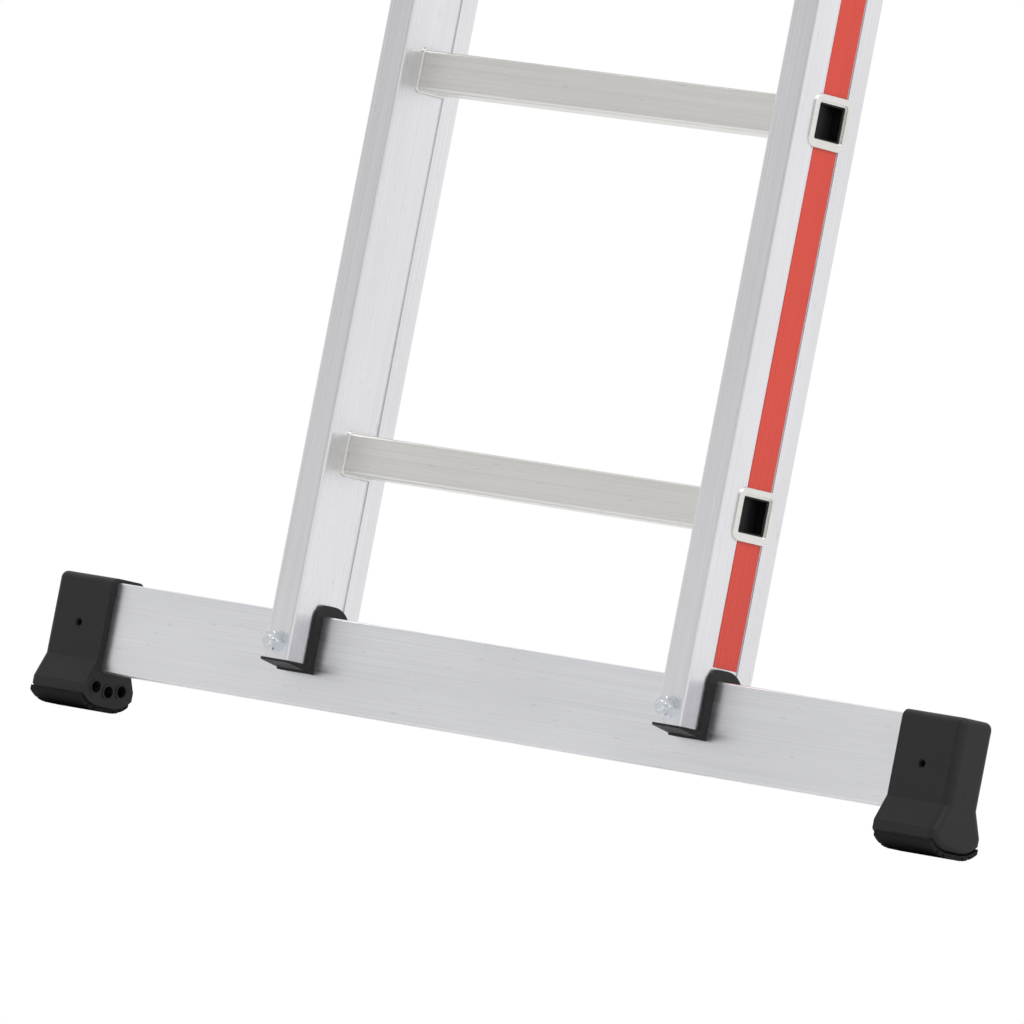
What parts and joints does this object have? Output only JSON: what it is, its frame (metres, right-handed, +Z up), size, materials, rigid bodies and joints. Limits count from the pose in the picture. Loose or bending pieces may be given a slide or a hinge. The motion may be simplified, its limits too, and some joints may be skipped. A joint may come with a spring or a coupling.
{
  "type": "extension ladder",
  "caption": "Two-section aluminium push-up extension ladder with square rungs, a stabiliser crossbar with rocker end caps, guides and swing rung hooks.",
  "frame": {"origin": "on the floor, below the middle of the ladder's width and of the gap between the two sections", "axes": "+X across the ladder to the right, +Y towards the wall it leans on, +Z up along the stiles"},
  "size_m": [0.91, 0.142, 2.844],
  "materials": {
    "stile_aluminium": "mill finish extrusion",
    "rung_aluminium": "satin extrusion",
    "crossbar_aluminium": "mill finish extrusion",
    "red_film": "red self-adhesive film",
    "black_moulding": "fine-textured black moulding",
    "black_rubber": "matt rubber",
    "zinc_steel": "bright zinc plated",
    "hook_aluminium": "die cast, satin",
    "rivet_aluminium": "satin"
  },
  "bodies": {
    "base_section": {"base_stile_left": "stile_aluminium", "base_stile_right": "stile_aluminium", "base_stripe_left": "red_film", "base_stripe_right": "red_film", "base_rung_1": "rung_aluminium", "base_rung_2": "rung_aluminium", "base_rung_3": "rung_aluminium", "base_rung_4": "rung_aluminium", "base_rung_5": "rung_aluminium", "base_rung_6": "rung_aluminium", "base_rung_7": "rung_aluminium", "base_rung_8": "rung_aluminium", "base_rung_plugs": "black_moulding", "base_top_plug_left": "black_moulding", "base_top_plug_right": "black_moulding", "crossbar": "crossbar_aluminium", "crossbar_saddle_left": "black_moulding", "crossbar_saddle_right": "black_moulding", "end_cap_left": "black_moulding", "end_cap_right": "black_moulding", "cap_tread_left": "black_rubber", "cap_tread_right": "black_rubber", "cap_pins": "black_moulding", "crossbar_bolts": "zinc_steel", "crossbar_washers": "zinc_steel", "crossbar_nuts": "zinc_steel", "upper_guide_left": "black_moulding", "upper_guide_right": "black_moulding", "upper_guide_rivets": "rivet_aluminium"},
    "fly_section": {"fly_stile_left": "stile_aluminium", "fly_stile_right": "stile_aluminium", "fly_stripe_left": "red_film", "fly_stripe_right": "red_film", "fly_rung_1": "rung_aluminium", "fly_rung_2": "rung_aluminium", "fly_rung_3": "rung_aluminium", "fly_rung_4": "rung_aluminium", "fly_rung_5": "rung_aluminium", "fly_rung_6": "rung_aluminium", "fly_rung_7": "rung_aluminium", "fly_rung_8": "rung_aluminium", "fly_rung_plugs": "black_moulding", "fly_top_plug_left": "black_moulding", "fly_top_plug_right": "black_moulding", "fly_foot_plug_left": "black_moulding", "fly_foot_plug_right": "black_moulding", "lower_guide_left": "black_moulding", "lower_guide_right": "black_moulding", "lower_guide_rivets": "rivet_aluminium", "hook_plate_left": "zinc_steel", "hook_plate_right": "zinc_steel", "hook_rivets": "rivet_aluminium", "hook_pivots": "zinc_steel"},
    "hook_left": {"rung_hook_left": "hook_aluminium"},
    "hook_right": {"rung_hook_right": "hook_aluminium"}
  },
  "joints": [
    {"name": "fly_slide", "type": "slide", "parent": "base_section", "child": "fly_section", "axis": [0, 0, 1], "range_m": [-0.56, 0.84]},
    {"name": "hook_left_swing", "type": "hinge", "parent": "fly_section", "child": "hook_left", "pos_m": [-0.1745, -0.034, 0.806], "axis": [1, 0, 0], "range_deg": [-102, 0]},
    {"name": "hook_right_swing", "type": "hinge", "parent": "fly_section", "child": "hook_right", "pos_m": [0.1745, -0.034, 0.806], "axis": [1, 0, 0], "range_deg": [-102, 0]}
  ]
}
